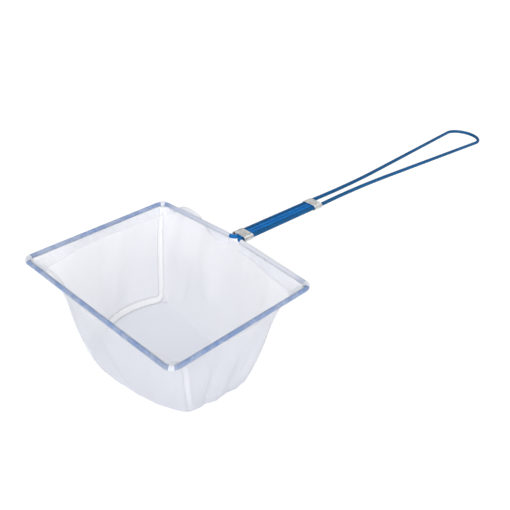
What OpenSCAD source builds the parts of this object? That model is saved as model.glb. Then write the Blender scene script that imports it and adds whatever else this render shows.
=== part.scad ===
// Fine-mesh dip net: a square-cornered mesh bag on a coated wire frame, with a twin-wire handle.
// Millimetres. +X runs along the handle to its tip, +Z points up out of the mouth.
// The origin is on the outside of the bag's floor, under the middle of the mouth.

/* [Mouth] */
// Width of the mouth, between the middles of its two side wires
mouth_width = 124.5; // [100:0.5:160]
// Length of the mouth, from the middle of the front wire to the handle side's corners
mouth_length = 100.6; // [85:0.2:140]
// Bend radius of the frame wire at the four corners of the mouth
corner_bend = 5.5; // [4:0.5:14]
// Angle at which each half of the handle side slopes outwards to the clip
bow_angle = 4.2; // [2:0.1:6]
// Bend radius of the frame wire where it turns into the handle
tail_bend = 3.2; // [3:0.1:6]

/* [Wire] */
// Diameter of the bare steel wire
core_diameter = 2; // [1.4:0.1:2.2]
// Thickness of the plastic coat on the wire
coating_thickness = 0.28; // [0.2:0.02:0.4]
// Gap between neighbouring wires in the handle
wire_gap = 0.05; // [0.02:0.01:0.1]

/* [Handle] */
// Reach of the hanging bow's wire beyond the handle side's corners
handle_reach = 293; // [230:1:360]
// Angle at which the handle drops below the plane of the mouth
handle_droop = 2.2; // [0.5:0.1:5]
// Angle at which the loop's legs close in behind the rear clip
leg_pinch = 1.5; // [0.5:0.1:2.5]
// Angle at which the loop's legs spread towards the hanging bow
leg_flare = 3.9; // [3:0.1:5]
// Bend radius of the long curve between the pinch and the spread
leg_sweep = 800; // [500:10:1000]
// Bend radius of the short bends at the pinch and the droop
short_bend = 30; // [20:1:40]

/* [Clips] */
// Length of each clip along the handle
clip_length = 7.5; // [6:0.5:14]
// Thickness of the clips' steel strip
clip_thickness = 0.5; // [0.3:0.05:0.8]
// Clearance between a clip and the wires it is crimped round
clip_clearance = 0.1; // [0.05:0.01:0.2]
// Width of the slit where a clip's two ends meet under the wires
clip_slit = 0.6; // [0.3:0.1:1.5]
// Distance from the handle side's corners to the front clip
front_clip_start = 7; // [6:0.1:9]
// Distance from the handle side's corners to the rear clip
rear_clip_start = 73.5; // [50:0.5:90]

/* [Bag] */
// Depth of the bag, from the middle of the frame wire to the underside of the floor
bag_depth = 68; // [50:0.5:90]
// Thickness of the mesh panels
mesh_thickness = 0.4; // [0.3:0.05:0.6]
// Corner radius of the bag's floor
floor_radius = 6; // [4:0.5:10]
// Distance that the floor's front right corner is drawn in from the front of the mouth
front_right_draw = 22; // [12:0.5:30]
// Distance that the floor's front right corner is drawn in from the side of the mouth
front_right_side_draw = 25; // [12:0.5:34]
// Distance that the floor's front left corner is drawn in from the front of the mouth
front_left_draw = 33; // [14:0.5:38]
// Distance that the floor's front left corner is drawn in from the side of the mouth
front_left_side_draw = 24; // [12:0.5:34]
// Distance that the floor's back left corner is drawn in from the handle side
back_left_draw = 22; // [8:0.5:28]
// Distance that the floor's back left corner is drawn in from the side of the mouth
back_left_side_draw = 20; // [8:0.5:30]
// Distance that the floor's back right corner is drawn in from the handle side
back_right_draw = 8; // [5:0.5:28]
// Distance that the floor's back right corner is drawn in from the side of the mouth
back_right_side_draw = 10; // [5:0.5:30]
// How far the front wall swells outwards halfway down
front_swell = 2; // [0:0.5:6]
// How far the two side panels swell outwards halfway down
side_swell = 1; // [0:0.5:6]
// How far the handle-side wall swells outwards halfway down
back_swell = 3; // [0:0.5:6]
// How far the front wall's foot bows outwards between its corners
front_foot_bow = 7; // [0:0.5:12]
// How far the right gusset's foot bows outwards between its corners
right_foot_bow = 12; // [0:0.5:16]
// How far the left gusset's foot bows outwards between its corners
left_foot_bow = 1.5; // [0:0.5:8]
// How far the handle-side wall's foot bows outwards between its corners, or inwards if negative
back_foot_bow = -1; // [-3:0.5:8]
// Part of a corner's draw by which the cloth is pinched in ahead of a straight taper
corner_pinch = 0.25; // [0:0.05:0.35]
// Depth at which the corners are pinched in the most
pinch_depth = 16; // [10:0.5:34]

/* [Hems and seams] */
// Thickness of the turned-over cloth round the wire
hem_thickness = 0.2; // [0.15:0.05:0.4]
// Height of a hem, from the middle of the wire to its lower edge
hem_height = 7; // [5:0.5:9]
// Slack between cloth and what it wraps or lies on
cloth_ease = 0.05; // [0.03:0.01:0.08]
// Distance from the net's centre line to the end of each handle-side hem
hem_end = 5; // [4.6:0.1:9]
// Thickness of an overlocked seam
seam_thickness = 0.5; // [0.4:0.05:0.8]
// Width of an overlocked seam
seam_width = 4; // [3:0.5:5]
// Diameter of the sewing thread
thread_diameter = 0.25; // [0.2:0.01:0.4]
// Distance from a hem's lower edge up to its line of stitching
stitch_rise = 1.2; // [0.8:0.1:2]

/* [Hidden] */

steel = "silver";
coat_blue = "#1b73b3";
rim_blue = "#8fa6c6";
mesh_white = "#e9ebf5";
seam_white = "white";

coat_diameter = core_diameter + 2 * coating_thickness;
wire_pitch = coat_diameter + wire_gap;
half_width = mouth_width / 2;
half_length = mouth_length / 2;
rim_z = bag_depth;

// Sides of the round outlines, and of the swept wires
circle_sides = 48;
wire_sides = 12;
// Roundness of the cloth's bows between corners: 1 is a sine, and less is fuller near the corners
bow_fullness = 0.6;
// The most that a swept wire's chords may stray from its bends
bend_tolerance = 0.03;

// ---- Wire bending --------------------------------------------------------------------------
// Wires are bent as on a wire bender. Each step feeds a length, rolls the wire, and bends it to
// its left: [feed, bend radius, bend angle, roll]. A station is [place, heading, left, up].

function bend_chords(radius, turn) =
    max(1, ceil(turn * PI / 180 * sqrt(radius / (8 * bend_tolerance))));

// The station that a bend reaches after turning by an angle.
function bent(station, radius, angle, roll) =
    let (
        heading = station[1],
        inward = station[2] * cos(roll) + station[3] * sin(roll),
        axis = station[3] * cos(roll) - station[2] * sin(roll),
        turned = inward * cos(angle) - heading * sin(angle)
    )
    [station[0] + heading * radius * sin(angle) + inward * radius * (1 - cos(angle)),
     heading * cos(angle) + inward * sin(angle),
     turned * cos(roll) - axis * sin(roll),
     turned * sin(roll) + axis * cos(roll)];

function wire_stations(steps, station, i = 0) =
    i == len(steps) ? [station] :
    let (
        step = steps[i],
        fed = [station[0] + station[1] * step[0], station[1], station[2], station[3]],
        chords = bend_chords(step[1], step[2]),
        bend = step[2] > 0
            ? [for (k = [1 : chords]) bent(fed, step[1], step[2] * k / chords, step[3])]
            : [fed]
    )
    concat([station],
           step[0] > 0 && step[2] > 0 ? [fed] : [],
           [for (k = [0 : 1 : len(bend) - 2]) bend[k]],
           wire_stations(steps, bend[len(bend) - 1], i + 1));

// The rings round a wire whose halves mirror each other across the net's centre line.
function mirrored_rings(stations, diameter) =
    let (rings = [for (s = stations) [for (k = [0 : wire_sides - 1]) let (a = (k + 0.5) * 360 / wire_sides)
        s[0] + (s[2] * cos(a) + s[3] * sin(a)) * diameter / 2]])
    concat([for (i = [len(rings) - 1 : -1 : 1]) [for (p = rings[i]) [p[0], -p[1], p[2]]]], rings);

// A solid wire, or with an inner diameter the coat round one.
module swept_wire(steps, start, outer, inner = 0) {
    stations = wire_stations(steps, start);
    skin = mirrored_rings(stations, outer);
    bore = inner > 0 ? mirrored_rings(stations, inner) : [];
    last = len(skin) - 1;
    on_skin = function (i, k) i * wire_sides + k % wire_sides;
    on_bore = function (i, k) (last + 1 + i) * wire_sides + k % wire_sides;
    sides = [for (i = [0 : last - 1]) for (k = [0 : wire_sides - 1]) each [
        [on_skin(i, k), on_skin(i, k + 1), on_skin(i + 1, k + 1), on_skin(i + 1, k)],
        if (inner > 0) [on_bore(i, k), on_bore(i + 1, k), on_bore(i + 1, k + 1), on_bore(i, k + 1)]]];
    rims = [if (inner > 0) for (k = [0 : wire_sides - 1]) each [
        [on_skin(0, k), on_bore(0, k), on_bore(0, k + 1), on_skin(0, k + 1)],
        [on_skin(last, k), on_skin(last, k + 1), on_bore(last, k + 1), on_bore(last, k)]]];
    caps = [if (inner == 0) for (k = [1 : wire_sides - 2]) each [
        [on_skin(0, 0), on_skin(0, k), on_skin(0, k + 1)],
        [on_skin(last, 0), on_skin(last, k + 1), on_skin(last, k)]]];
    quads = concat(sides, rims);
    polyhedron(points = concat([for (ring = skin) each ring], [for (ring = bore) each ring]),
               faces = concat(caps, [for (q = quads) each [[q[2], q[1], q[0]], [q[3], q[2], q[0]]]]),
               convexity = 10);
}

// ---- Frame wire ----------------------------------------------------------------------------
// Half of it, from the middle of the front round to the end of its tail in the handle.

tail_y = wire_pitch / 2;
back_turn = 90 - bow_angle;
corner_cut = corner_bend * tan(back_turn / 2);
tail_cut = tail_bend * tan(back_turn / 2);
droop_cut = short_bend * tan(handle_droop / 2);
bow_peak_x = half_length + (half_width - tail_y) * tan(bow_angle);
handle_x = bow_peak_x + tail_cut + droop_cut;
tail_end = half_length + rear_clip_start + clip_length - clip_thickness;

frame_steps = [
    [half_width - corner_bend, corner_bend, 90, 0],
    [mouth_length - corner_bend - corner_cut, corner_bend, back_turn, 0],
    [(half_width - tail_y) / cos(bow_angle) - corner_cut - tail_cut, tail_bend, back_turn, 180],
    [0, short_bend, handle_droop, -90],
    [tail_end - handle_x - droop_cut, 0, 0, 0]
];
frame_start = [[-half_length, 0, rim_z], [0, -1, 0], [1, 0, 0], [0, 0, 1]];

module frame_wire_core() {
    color(steel) swept_wire(frame_steps, frame_start, core_diameter);
}

module frame_wire_coating() {
    color(coat_blue) swept_wire(frame_steps, frame_start, coat_diameter, core_diameter);
}

// ---- Handle loop ---------------------------------------------------------------------------
// Half of it, from the tip of the hanging bow to the end of its leg in the front clip. Lengths
// along the handle are from the handle side's corners. The bow's radius follows from where the
// spreading legs meet the reach.

leg_y = 1.5 * wire_pitch;
leg_start = front_clip_start + coat_diameter / 2;
pinch_x = rear_clip_start + clip_length + coat_diameter;
flare_x = pinch_x + short_bend * sin(leg_pinch) + leg_sweep * (sin(leg_pinch) + sin(leg_flare));
flare_y = leg_y - short_bend * (1 - cos(leg_pinch)) + leg_sweep * (cos(leg_pinch) - cos(leg_flare));
bow_radius = (flare_y + (handle_reach - flare_x) * tan(leg_flare))
             / (cos(leg_flare) + (1 + sin(leg_flare)) * tan(leg_flare));
flare_length = (handle_reach - bow_radius * (1 + sin(leg_flare)) - flare_x) / cos(leg_flare);

loop_steps = [
    [0, bow_radius, 90 + leg_flare, 180],
    [flare_length, leg_sweep, leg_flare + leg_pinch, 0],
    [0, short_bend, leg_pinch, 180],
    [pinch_x - leg_start, 0, 0, 0]
];
loop_start = [[handle_reach, 0, 0], [0, -1, 0], [1, 0, 0], [0, 0, 1]];

// Carries what is drawn with x measured from the handle side's corners to the drooping handle.
module along_handle() {
    translate([handle_x, 0, rim_z]) rotate([0, handle_droop, 0])
        translate([half_length - handle_x, 0, 0]) children();
}

module handle_loop_core() {
    color(steel) along_handle() swept_wire(loop_steps, loop_start, core_diameter);
}

module handle_loop_coating() {
    color(coat_blue) along_handle() swept_wire(loop_steps, loop_start, coat_diameter, core_diameter);
}

// ---- Clips ---------------------------------------------------------------------------------
// Each is a steel strip closed round the flat row of four wires, with its slit underneath.

clip_bore = coat_diameter / 2 + clip_clearance;

module wire_row_outline(radius) {
    square([2 * leg_y, 2 * radius], center = true);
    for (side = [-1, 1]) translate([side * leg_y, 0]) circle(radius, $fn = circle_sides);
}

module clip(start) {
    along_handle() translate([start, 0, 0]) rotate([90, 0, 90]) linear_extrude(clip_length)
        difference() {
            wire_row_outline(clip_bore + clip_thickness);
            wire_row_outline(clip_bore);
            translate([-clip_slit / 2, -clip_bore - 2 * clip_thickness])
                square([clip_slit, 2 * clip_thickness + clip_bore]);
        }
}

module front_clip() {
    color(steel) clip(front_clip_start);
}

module rear_clip() {
    color(steel) clip(rear_clip_start);
}

// ---- Bag outlines --------------------------------------------------------------------------
// The mouth and the floor are rounded loops with matching stations, run counter-clockwise seen
// from above. A station is [point, direction that the cloth faces].

function outward(from, to) = let (d = (to - from) / norm(to - from)) [d[1], -d[0]];
function facing(angle) = [cos(angle), sin(angle)];
function mix(a, b, share) = a + (b - a) * share;

// Stations round half of a corner, as shares of that half from its middle to its edge.
seam_share = (seam_width / 2 / corner_bend) * (180 / PI) / 45;
half_corner = [0, seam_share, (1 + seam_share) / 2, 1];
corner_steps = len(half_corner) - 1;

// Stations along a side from the middle of one corner to the middle of the next. shares are the
// straight stations between the two arcs, without its ends.
function side_stations(before, from, to, after, from_radius, to_radius, shares) =
    let (
        facing_in = outward(before, from),
        facing_side = outward(from, to),
        facing_out = outward(to, after),
        side_angle = atan2(facing_side[1], facing_side[0]),
        from_turn = acos(min(1, facing_in * facing_side)) / 2,
        to_turn = acos(min(1, facing_side * facing_out)) / 2,
        from_centre = from - (facing_in + facing_side) / (1 + facing_in * facing_side) * from_radius,
        to_centre = to - (facing_side + facing_out) / (1 + facing_side * facing_out) * to_radius,
        first = from_centre + facing_side * from_radius,
        last = to_centre + facing_side * to_radius
    )
    concat(
        from_radius > 0
            ? [for (share = half_corner) let (a = side_angle - from_turn * (1 - share))
                [from_centre + facing(a) * from_radius, facing(a)]]
            : [[from, facing_side]],
        [for (share = shares) [mix(first, last, share), facing_side]],
        to_radius > 0
            ? [for (i = [corner_steps : -1 : 0]) let (a = side_angle + to_turn * (1 - half_corner[i]))
                [to_centre + facing(a) * to_radius, facing(a)]]
            : [[to, facing_side]]
    );

mouth_corners = [
    [half_length, half_width],
    [-half_length, half_width],
    [-half_length, -half_width],
    [half_length, -half_width]
];
floor_corners = [
    mouth_corners[0] + [-back_right_draw, -back_right_side_draw],
    mouth_corners[1] + [front_right_draw, -front_right_side_draw],
    mouth_corners[2] + [front_left_draw, front_left_side_draw],
    mouth_corners[3] + [-back_left_draw, back_left_side_draw]
];
mouth_peak = [half_length + half_width * tan(bow_angle), 0];
floor_peak = (floor_corners[0] + floor_corners[3]) / 2;

side_shares = [1, 2, 3, 4, 5] / 6;
front_shares = [1, 2, 3, 4, 5, 6, 7] / 8;
// The handle side's hems end at a station of their own, next to the peak.
hem_end_share = 1 - hem_end / (half_width - corner_bend);
back_shares = [hem_end_share / 3, hem_end_share * 2 / 3, hem_end_share];
back_shares_from_peak = [for (i = [2 : -1 : 0]) 1 - back_shares[i]];

function side(corners, peak, i, radius) =
    side_stations(i == 0 ? peak : corners[i - 1], corners[i], corners[i + 1],
                  i == 2 ? peak : corners[i + 2], radius, radius, i == 1 ? front_shares : side_shares);
function back_left(corners, peak, radius) =
    side_stations(corners[2], corners[3], peak, corners[0], radius, 0, back_shares);
function back_right(corners, peak, radius) =
    side_stations(corners[3], peak, corners[0], corners[1], 0, radius, back_shares_from_peak);
function back_side(corners, peak, radius) =
    let (right_half = back_right(corners, peak, radius))
    concat([for (s = back_left(corners, peak, radius)) if (s[0] != peak) s],
           [[peak, [1, 0]]], [for (s = right_half) if (s[0] != peak) s]);

// A wall is [mouth stations, floor stations, swell, bow of its foot].
right_wall = [side(mouth_corners, mouth_peak, 0, corner_bend),
              side(floor_corners, floor_peak, 0, floor_radius), side_swell, right_foot_bow];
front_wall = [side(mouth_corners, mouth_peak, 1, corner_bend),
              side(floor_corners, floor_peak, 1, floor_radius), front_swell, front_foot_bow];
left_wall = [side(mouth_corners, mouth_peak, 2, corner_bend),
             side(floor_corners, floor_peak, 2, floor_radius), side_swell, left_foot_bow];
back_wall = [back_side(mouth_corners, mouth_peak, corner_bend),
             back_side(floor_corners, floor_peak, floor_radius), back_swell, back_foot_bow];

// ---- Bag surfaces --------------------------------------------------------------------------

function last_station(wall) = len(wall[0]) - 1;

// The direction that a wall faces at a station, level and one long.
function wall_facing(wall, i, share) =
    let (d = mix(wall[0][i][1], wall[1][i][1], share)) d / norm(d);

// How far along its side a station lies at the mouth, as a share of the side's straight length.
function along_side(wall, i) =
    let (
        first = wall[0][0][0],
        way = wall[0][last_station(wall)][0] - first
    )
    max(0, min(1, (wall[0][i][0] - first) * way / (way * way)));

// How much of a corner's pinch the cloth has at a share of the bag's depth: 0 at the wire and at
// the floor, and 1 at the pinch's own depth.
pinch_curve = ln(1 / 2) / ln(pinch_depth / bag_depth);
function pinch_at(share) = pow(sin(180 * pow(share, pinch_curve)), 2);

// A point of a wall's middle layer at a station and a depth below the wire, set proud of it.
function wall_point(wall, i, depth, proud) =
    let (
        share = depth / bag_depth,
        along = along_side(wall, i),
        drawn = share + corner_pinch * pinch_at(share) * pow(cos(180 * along), 2),
        slack = (wall[2] * sin(180 * share) + wall[3] * share) * pow(sin(180 * along), bow_fullness),
        level = mix(wall[0][i][0], wall[1][i][0], drawn) + wall_facing(wall, i, share) * (slack + proud)
    )
    [level[0], level[1], rim_z - depth];

// A sheet of cloth between two grids of points. keep tells which of its cells are there, and
// cross which of them are creased along their other diagonal.
module cloth_sheet(outside, inside, keep = function (row, column) true,
                   cross = function (row, column) false) {
    rows = len(outside);
    columns = len(outside[0]);
    there = function (r, c) r >= 0 && c >= 0 && r < rows - 1 && c < columns - 1 && keep(r, c);
    out = function (r, c) r * columns + c;
    in = function (r, c) rows * columns + r * columns + c;
    quads = [for (r = [0 : rows - 2]) for (c = [0 : columns - 2]) if (there(r, c)) each [
        [out(r, c), out(r, c + 1), out(r + 1, c + 1), out(r + 1, c), cross(r, c)],
        [in(r, c), in(r + 1, c), in(r + 1, c + 1), in(r, c + 1), cross(r, c)],
        if (!there(r - 1, c)) [out(r, c), in(r, c), in(r, c + 1), out(r, c + 1)],
        if (!there(r + 1, c)) [out(r + 1, c + 1), in(r + 1, c + 1), in(r + 1, c), out(r + 1, c)],
        if (!there(r, c - 1)) [out(r + 1, c), in(r + 1, c), in(r, c), out(r, c)],
        if (!there(r, c + 1)) [out(r, c + 1), in(r, c + 1), in(r + 1, c + 1), out(r + 1, c + 1)]
    ]];
    polyhedron(points = concat([for (row = outside) each row], [for (row = inside) each row]),
               faces = [for (q = quads) each q[4] == true
                            ? [[q[3], q[1], q[0]], [q[3], q[2], q[1]]]
                            : [[q[2], q[1], q[0]], [q[3], q[2], q[0]]]],
               convexity = 8);
}

// ---- Mesh panels ---------------------------------------------------------------------------
// The walls start inside the hems, under the wire. The strip runs down the front wall, across
// the floor and up the handle-side wall. The gussets stand on its two long edges.

half_mesh = mesh_thickness / 2;
sleeve_bore = coat_diameter / 2 + cloth_ease;
wall_top = sleeve_bore + 2 * hem_thickness;
stitch_depth = hem_height - stitch_rise;
// Depths of the foot and the upper edge of the seam that runs along a gusset's foot
seam_foot = bag_depth - mesh_thickness - cloth_ease;
seam_edge = seam_foot - seam_width;
floor_rows = last_station(right_wall);

function wall_row(wall, depth, proud) =
    [for (i = [0 : last_station(wall)]) wall_point(wall, i, depth, proud)];
// The panels have the same rows as the hems, the stitching and the seams that lie flat on them.
hem_depths = [wall_top, stitch_depth, hem_height];
slack_rows = 6;
panel_depths = [for (row = [0 : slack_rows]) mix(hem_height, seam_edge, row / slack_rows)];
wall_depths = concat([wall_top, stitch_depth], panel_depths, [bag_depth]);
wall_rows = len(wall_depths) - 1;

// One row of the floor, from the left gusset's foot to the right gusset's foot.
function floor_row(step, z) =
    let (
        n = last_station(front_wall),
        left_foot = wall_point(left_wall, step, bag_depth, -half_mesh),
        right_foot = wall_point(right_wall, floor_rows - step, bag_depth, -half_mesh),
        front_edge = [for (i = [0 : n]) wall_point(front_wall, n - i, bag_depth, 0)],
        back_edge = [for (i = [0 : n]) wall_point(back_wall, i, bag_depth, 0)],
        along = step / floor_rows
    )
    [for (i = [0 : n]) let (
        across = i / n,
        chord = mix(mix(front_edge[0], front_edge[n], across),
                    mix(back_edge[0], back_edge[n], across), along),
        p = mix(front_edge[i], back_edge[i], along) + mix(left_foot, right_foot, across) - chord
    ) [p[0], p[1], z]];

function strip_grid(proud, floor_z) =
    let (depths = [for (depth = wall_depths) min(depth, bag_depth - floor_z)])
    concat(
        [for (row = [0 : wall_rows])
            let (points = wall_row(front_wall, depths[row], proud))
            [for (i = [len(points) - 1 : -1 : 0]) points[i]]],
        [for (step = [1 : floor_rows - 1]) floor_row(step, floor_z)],
        [for (row = [wall_rows : -1 : 0]) wall_row(back_wall, depths[row], proud)]);

module bag_strip() {
    color(mesh_white) cloth_sheet(strip_grid(half_mesh, 0), strip_grid(-half_mesh, mesh_thickness));
}

module gusset(wall) {
    grid = function (proud) [for (depth = wall_depths) wall_row(wall, depth, proud)];
    color(mesh_white) cloth_sheet(grid(-half_mesh), grid(half_mesh));
}

module left_gusset() {
    gusset(left_wall);
}

module right_gusset() {
    gusset(right_wall);
}

// ---- Hems ----------------------------------------------------------------------------------
// A hem is a fold of cloth: up the outside of its wall, over the wire, and down the inside.

fold_steps = 10;
leg_proud = half_mesh + cloth_ease;

// The fold's outline at one station, at a distance from what it wraps.
function fold_outline(wall, i, proud) =
    let (
        leg = leg_proud + proud,
        opening = asin(leg / (sleeve_bore + proud)),
        radius = (sleeve_bore + proud) / cos((180 - opening) / fold_steps),
        faces = wall_facing(wall, i, 0),
        middle = wall[0][i][0]
    )
    concat(
        [for (k = [len(hem_depths) - 1 : -1 : 0]) wall_point(wall, i, hem_depths[k], leg)],
        [for (step = [0 : fold_steps]) let (a = mix(opening - 90, 270 - opening, step / fold_steps))
            [middle[0] + faces[0] * radius * cos(a), middle[1] + faces[1] * radius * cos(a),
             rim_z + radius * sin(a)]],
        [for (depth = hem_depths) wall_point(wall, i, depth, -leg)]
    );

// One of the fold's two legs, the outside one unless inner_creased, has to be creased the other
// way to lie on its wall. The legs are the fold's first and last cells.
leg_cells = len(hem_depths) - 1;
inner_leg = leg_cells + fold_steps + 2;

module hem(wall, first, last, inner_creased = false) {
    outline = function (proud) [for (i = [first : last]) fold_outline(wall, i, proud)];
    color(rim_blue) cloth_sheet(outline(0), outline(hem_thickness),
        cross = function (row, column) inner_creased ? column >= inner_leg : column < leg_cells);
}

side_last = last_station(left_wall) - 1;
front_last = last_station(front_wall) - 1;
peak_station = last_station(back_wall) / 2;

module front_hem() {
    hem(front_wall, 1, front_last, inner_creased = true);
}

module left_hem() {
    hem(left_wall, 1, side_last);
}

module right_hem() {
    hem(right_wall, 1, side_last);
}

module back_left_hem() {
    hem(back_wall, 1, peak_station - 1, inner_creased = true);
}

module back_right_hem() {
    hem(back_wall, peak_station + 1, last_station(back_wall) - 1, inner_creased = true);
}

// ---- Seams ---------------------------------------------------------------------------------
// An overlocked seam runs down one corner of a gusset, along its foot and up the other corner.
// At the mouth its many layers wrap the wire, where two hems would meet.

seam_base = half_mesh + 2 * cloth_ease;
seam_columns = corner_steps - 1;

module seam_band(wall) {
    depths = concat(panel_depths, [seam_foot]);
    grid = function (proud) [for (depth = depths) wall_row(wall, depth, proud)];
    last_column = last_station(wall) - seam_columns;
    cloth_sheet(grid(-seam_base - seam_thickness), grid(-seam_base),
                function (row, column) column < seam_columns || column >= last_column
                                       || row == len(depths) - 2);
}

module corner_wrap(wall, stations, next_wall, next_stations) {
    wraps = function (thickness) concat(
        [for (i = stations) fold_outline(wall, i, thickness)],
        [for (i = next_stations) fold_outline(next_wall, i, thickness)]);
    cloth_sheet(wraps(0), wraps(seam_thickness));
}

module left_seam() {
    color(seam_white) {
        seam_band(left_wall);
        corner_wrap(front_wall, [front_last], left_wall, [0, 1]);
        corner_wrap(left_wall, [side_last], back_wall, [0, 1]);
    }
}

module right_seam() {
    color(seam_white) {
        seam_band(right_wall);
        corner_wrap(back_wall, [last_station(back_wall) - 1], right_wall, [0, 1]);
        corner_wrap(right_wall, [side_last], front_wall, [0, 1]);
    }
}

// ---- Hem threads ---------------------------------------------------------------------------
// Each line of stitching shows as one thread on the outside of its hem and one on the inside.

thread_sides = 6;
thread_proud = leg_proud + hem_thickness + cloth_ease + thread_diameter / 2;

module thread(wall, first, last, face) {
    ring = function (i) [for (k = [0 : thread_sides - 1]) let (a = k * 360 / thread_sides)
        wall_point(wall, i, stitch_depth + sin(a) * thread_diameter / 2,
                   face * thread_proud + cos(a) * thread_diameter / 2)];
    rings = last - first + 1;
    at = function (i, k) i * thread_sides + k % thread_sides;
    polyhedron(
        points = [for (i = [first : last]) each ring(i)],
        faces = concat(
            [for (i = [0 : rings - 2]) for (k = [0 : thread_sides - 1]) each [
                [at(i + 1, k + 1), at(i, k + 1), at(i, k)],
                [at(i + 1, k), at(i + 1, k + 1), at(i, k)]]],
            [for (k = [1 : thread_sides - 2]) [at(0, k), at(0, k + 1), at(0, 0)]],
            [for (k = [1 : thread_sides - 2])
                [at(rings - 1, k + 1), at(rings - 1, k), at(rings - 1, 0)]]));
}

module hem_thread(wall, first, last) {
    color(seam_white) for (face = [-1, 1]) thread(wall, first, last, face);
}

module front_hem_thread() {
    hem_thread(front_wall, 1, front_last);
}

module left_hem_thread() {
    hem_thread(left_wall, 1, side_last);
}

module right_hem_thread() {
    hem_thread(right_wall, 1, side_last);
}

module back_left_hem_thread() {
    hem_thread(back_wall, 1, peak_station - 1);
}

module back_right_hem_thread() {
    hem_thread(back_wall, peak_station + 1, last_station(back_wall) - 1);
}

frame_wire_core();
frame_wire_coating();
handle_loop_core();
handle_loop_coating();
front_clip();
rear_clip();
bag_strip();
left_gusset();
right_gusset();
front_hem();
left_hem();
right_hem();
back_left_hem();
back_right_hem();
left_seam();
right_seam();
front_hem_thread();
left_hem_thread();
right_hem_thread();
back_left_hem_thread();
back_right_hem_thread();
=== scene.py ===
import math

import bmesh
import bpy
import numpy as np
from mathutils import Matrix, Vector, noise


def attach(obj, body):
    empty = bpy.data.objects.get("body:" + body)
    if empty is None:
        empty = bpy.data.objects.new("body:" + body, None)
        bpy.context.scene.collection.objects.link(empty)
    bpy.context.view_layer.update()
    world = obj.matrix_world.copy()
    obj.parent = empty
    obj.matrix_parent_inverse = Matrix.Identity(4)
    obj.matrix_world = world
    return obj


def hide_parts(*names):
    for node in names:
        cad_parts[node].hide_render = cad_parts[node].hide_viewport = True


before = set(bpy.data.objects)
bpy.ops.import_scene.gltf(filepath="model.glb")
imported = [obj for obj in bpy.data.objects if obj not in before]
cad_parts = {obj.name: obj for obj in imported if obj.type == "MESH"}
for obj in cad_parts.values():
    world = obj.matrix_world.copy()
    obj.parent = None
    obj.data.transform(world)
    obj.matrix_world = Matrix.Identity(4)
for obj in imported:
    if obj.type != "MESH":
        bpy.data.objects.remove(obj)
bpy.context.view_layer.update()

# ---- Camera ----------------------------------------------------------------------------------
# A normal lens, above and to the left of the mouth, that takes in the whole net from the bag to
# the hanging bow.
LENS = 50.1
SENSOR_WIDTH = 36
CAMERA_PLACE = Vector((-0.2106, -0.2494, 0.2936))
CAMERA_RIGHT = Vector((0.68762, -0.72359, 0.05989)).normalized()
CAMERA_AHEAD = Vector((0.62991, 0.55350, -0.54484)).normalized()
CAMERA_UP = CAMERA_RIGHT.cross(CAMERA_AHEAD)

scene = bpy.context.scene
camera = bpy.data.objects.new("camera", bpy.data.cameras.new("camera"))
camera.data.lens = LENS
camera.data.sensor_width = SENSOR_WIDTH
camera.matrix_world = Matrix.Translation(CAMERA_PLACE) @ Matrix(
    (CAMERA_RIGHT, CAMERA_UP, -CAMERA_AHEAD)
).transposed().to_4x4()
scene.collection.objects.link(camera)
scene.camera = camera

# ---- Frame wire ------------------------------------------------------------------------------
# One length of drawn steel wire with a dipped blue plastic coat. It is bent to the four-sided
# mouth, and its two tails run back side by side as the middle of the handle.
MM = 0.001  # the net's sizes are in millimetres here, and its angles in degrees
MOUTH_WIDTH = 124.5
MOUTH_LENGTH = 100.6
CORNER_BEND = 5.5
BOW_ANGLE = 4.2
TAIL_BEND = 3.2
RIM_Z = 68.0
COAT_RADIUS = 1.28
COAT_RIPPLE, RIPPLE_FREQUENCY = 0.012, 0.11
CORE_RADIUS = 1.0
WIRE_PITCH = 2.61
SHORT_BEND = 30.0
HANDLE_DROOP = 2.2
CLIP_LENGTH = 7.5
REAR_CLIP_START = 73.5
FRONT_CLIP_START = 7.0
TAIL_INSIDE_CLIP = 0.5
COAT_SIDES = 28
LONGEST_STEP = 2.5
WIDEST_STEP = 6
WELD_DISTANCE = 0.002
FRAME_BLUES = ((0.002, 0.108, 0.35), (0.004, 0.146, 0.45))
DRAWN_STEEL = ((0.46, 0.47, 0.48), (0.66, 0.67, 0.68))


def sin_of(degrees):
    return math.sin(math.radians(degrees))


def cos_of(degrees):
    return math.cos(math.radians(degrees))


def tan_of(degrees):
    return math.tan(math.radians(degrees))


def turned(vector, axis, angle):
    """vector after a turn by an angle in degrees about a unit axis."""
    c, s = cos_of(angle), sin_of(angle)
    return vector * c + np.cross(axis, vector) * s + axis * (axis @ vector) * (1 - c)


def bent_wire(steps, place):
    """Stations (place, left, up) along half a wire that starts across the net's centre line.
    Each step feeds a length, then bends the wire: [feed, bend radius, bend angle, roll]."""
    place, heading = np.array(place, float), np.array((0.0, -1, 0))
    left, up = np.array((1.0, 0, 0)), np.array((0.0, 0, 1))
    stations = [(place, left, up)]
    for feed, radius, angle, roll in steps:
        pieces = math.ceil(feed / LONGEST_STEP)
        for k in range(1, pieces + 1):
            stations.append((place + heading * feed * k / pieces, left, up))
        place = place + heading * feed
        if angle:
            inward = turned(left, heading, roll)
            axis = np.cross(heading, inward)
            centre = place + inward * radius
            bend_length = radius * math.radians(angle)
            chords = max(2, math.ceil(max(angle / WIDEST_STEP, bend_length / LONGEST_STEP)))
            for k in range(1, chords + 1):
                t = angle * k / chords
                place = centre - turned(inward, axis, t) * radius
                stations.append((place, turned(left, axis, t), turned(up, axis, t)))
            heading, left, up = (turned(v, axis, angle) for v in (heading, left, up))
    return stations


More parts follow.
